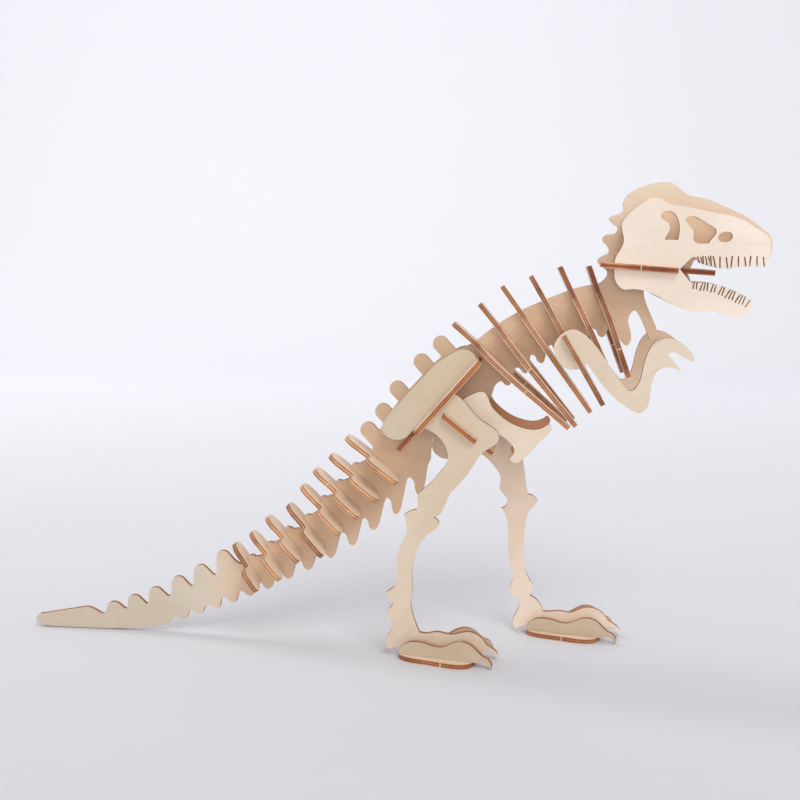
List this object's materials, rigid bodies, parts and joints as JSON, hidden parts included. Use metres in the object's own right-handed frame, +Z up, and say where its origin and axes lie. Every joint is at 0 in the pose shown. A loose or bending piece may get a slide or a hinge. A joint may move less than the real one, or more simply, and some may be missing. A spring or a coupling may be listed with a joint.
{
  "type": "wooden 3d jigsaw model",
  "caption": "Slot-together plywood skeleton of a walking theropod dinosaur with toothed skull, ribs, arms, fanned tail vertebrae and flat foot pads.",
  "frame": {"origin": "on the floor, under the middle of the model's bounding box", "axes": "+X towards the snout, +Y to the animal's left side, +Z up"},
  "size_m": [0.36, 0.0764, 0.2271],
  "materials": {
    "birch_ply": "matte",
    "birch_core": "matte"
  },
  "bodies": {
    "skeleton": {"spine_sheet": "birch_core", "head_cross_plate": "birch_ply", "hip_cross_plate": "birch_ply", "leg_cross_plate": "birch_ply", "ilium_plate_right": "birch_ply", "pubis_plate_right": "birch_ply", "leg_right": "birch_ply", "foot_pad_right": "birch_ply", "toe_plate_right_outer": "birch_ply", "toe_plate_right_inner": "birch_ply", "ilium_plate_left": "birch_ply", "pubis_plate_left": "birch_ply", "leg_left": "birch_ply", "foot_pad_left": "birch_ply", "toe_plate_left_outer": "birch_ply", "toe_plate_left_inner": "birch_ply"},
    "skull_plate_right": {"skull_plate_right": "birch_ply"},
    "skull_plate_left": {"skull_plate_left": "birch_ply"},
    "rib_1": {"rib_1": "birch_ply"},
    "rib_2": {"rib_2": "birch_ply"},
    "rib_3": {"rib_3": "birch_ply"},
    "rib_4": {"rib_4": "birch_ply"},
    "rib_5": {"rib_5": "birch_ply"},
    "rib_6": {"rib_6": "birch_ply"},
    "arm_right": {"arm_right": "birch_ply"},
    "arm_left": {"arm_left": "birch_ply"},
    "tail_vertebra_1": {"tail_vertebra_1": "birch_ply"},
    "tail_vertebra_2": {"tail_vertebra_2": "birch_ply"},
    "tail_vertebra_3": {"tail_vertebra_3": "birch_ply"},
    "tail_vertebra_4": {"tail_vertebra_4": "birch_ply"},
    "tail_vertebra_5": {"tail_vertebra_5": "birch_ply"},
    "tail_vertebra_6": {"tail_vertebra_6": "birch_ply"},
    "tail_vertebra_7": {"tail_vertebra_7": "birch_ply"},
    "tail_vertebra_8": {"tail_vertebra_8": "birch_ply"}
  },
  "joints": [
    {"name": "skull_plate_right_pull", "type": "slide", "parent": "skeleton", "child": "skull_plate_right", "axis": [0.998, 0, -0.0628], "range_m": [0, 0.018]},
    {"name": "skull_plate_left_pull", "type": "slide", "parent": "skeleton", "child": "skull_plate_left", "axis": [0.998, 0, -0.0628], "range_m": [0, 0.018]},
    {"name": "rib_1_lift", "type": "slide", "parent": "skeleton", "child": "rib_1", "axis": [-0.7593, 0, 0.6508], "range_m": [0, 0.012]},
    {"name": "rib_2_lift", "type": "slide", "parent": "skeleton", "child": "rib_2", "axis": [-0.6361, 0, 0.7716], "range_m": [0, 0.012]},
    {"name": "rib_3_lift", "type": "slide", "parent": "skeleton", "child": "rib_3", "axis": [-0.5906, 0, 0.807], "range_m": [0, 0.012]},
    {"name": "rib_4_lift", "type": "slide", "parent": "skeleton", "child": "rib_4", "axis": [-0.5075, 0, 0.8616], "range_m": [0, 0.012]},
    {"name": "rib_5_lift", "type": "slide", "parent": "skeleton", "child": "rib_5", "axis": [-0.4352, 0, 0.9003], "range_m": [0, 0.012]},
    {"name": "rib_6_lift", "type": "slide", "parent": "skeleton", "child": "rib_6", "axis": [-0.3486, 0, 0.9373], "range_m": [0, 0.012]},
    {"name": "arm_right_lift", "type": "slide", "parent": "rib_4", "child": "arm_right", "axis": [-0.5075, 0, 0.8616], "range_m": [0, 0.01]},
    {"name": "arm_left_lift", "type": "slide", "parent": "rib_4", "child": "arm_left", "axis": [-0.5075, 0, 0.8616], "range_m": [0, 0.01]},
    {"name": "tail_vertebra_1_lift", "type": "slide", "parent": "skeleton", "child": "tail_vertebra_1", "axis": [-0.8049, 0, 0.5934], "range_m": [0, 0.01]},
    {"name": "tail_vertebra_2_lift", "type": "slide", "parent": "skeleton", "child": "tail_vertebra_2", "axis": [-0.7902, 0, 0.6129], "range_m": [0, 0.01]},
    {"name": "tail_vertebra_3_lift", "type": "slide", "parent": "skeleton", "child": "tail_vertebra_3", "axis": [-0.7501, 0, 0.6613], "range_m": [0, 0.01]},
    {"name": "tail_vertebra_4_lift", "type": "slide", "parent": "skeleton", "child": "tail_vertebra_4", "axis": [-0.7157, 0, 0.6984], "range_m": [0, 0.01]},
    {"name": "tail_vertebra_5_lift", "type": "slide", "parent": "skeleton", "child": "tail_vertebra_5", "axis": [-0.6574, 0, 0.7536], "range_m": [0, 0.01]},
    {"name": "tail_vertebra_6_lift", "type": "slide", "parent": "skeleton", "child": "tail_vertebra_6", "axis": [-0.6909, 0, 0.723], "range_m": [0, 0.01]},
    {"name": "tail_vertebra_7_lift", "type": "slide", "parent": "skeleton", "child": "tail_vertebra_7", "axis": [-0.6388, 0, 0.7694], "range_m": [0, 0.01]},
    {"name": "tail_vertebra_8_lift", "type": "slide", "parent": "skeleton", "child": "tail_vertebra_8", "axis": [-0.5621, 0, 0.8271], "range_m": [0, 0.01]}
  ]
}
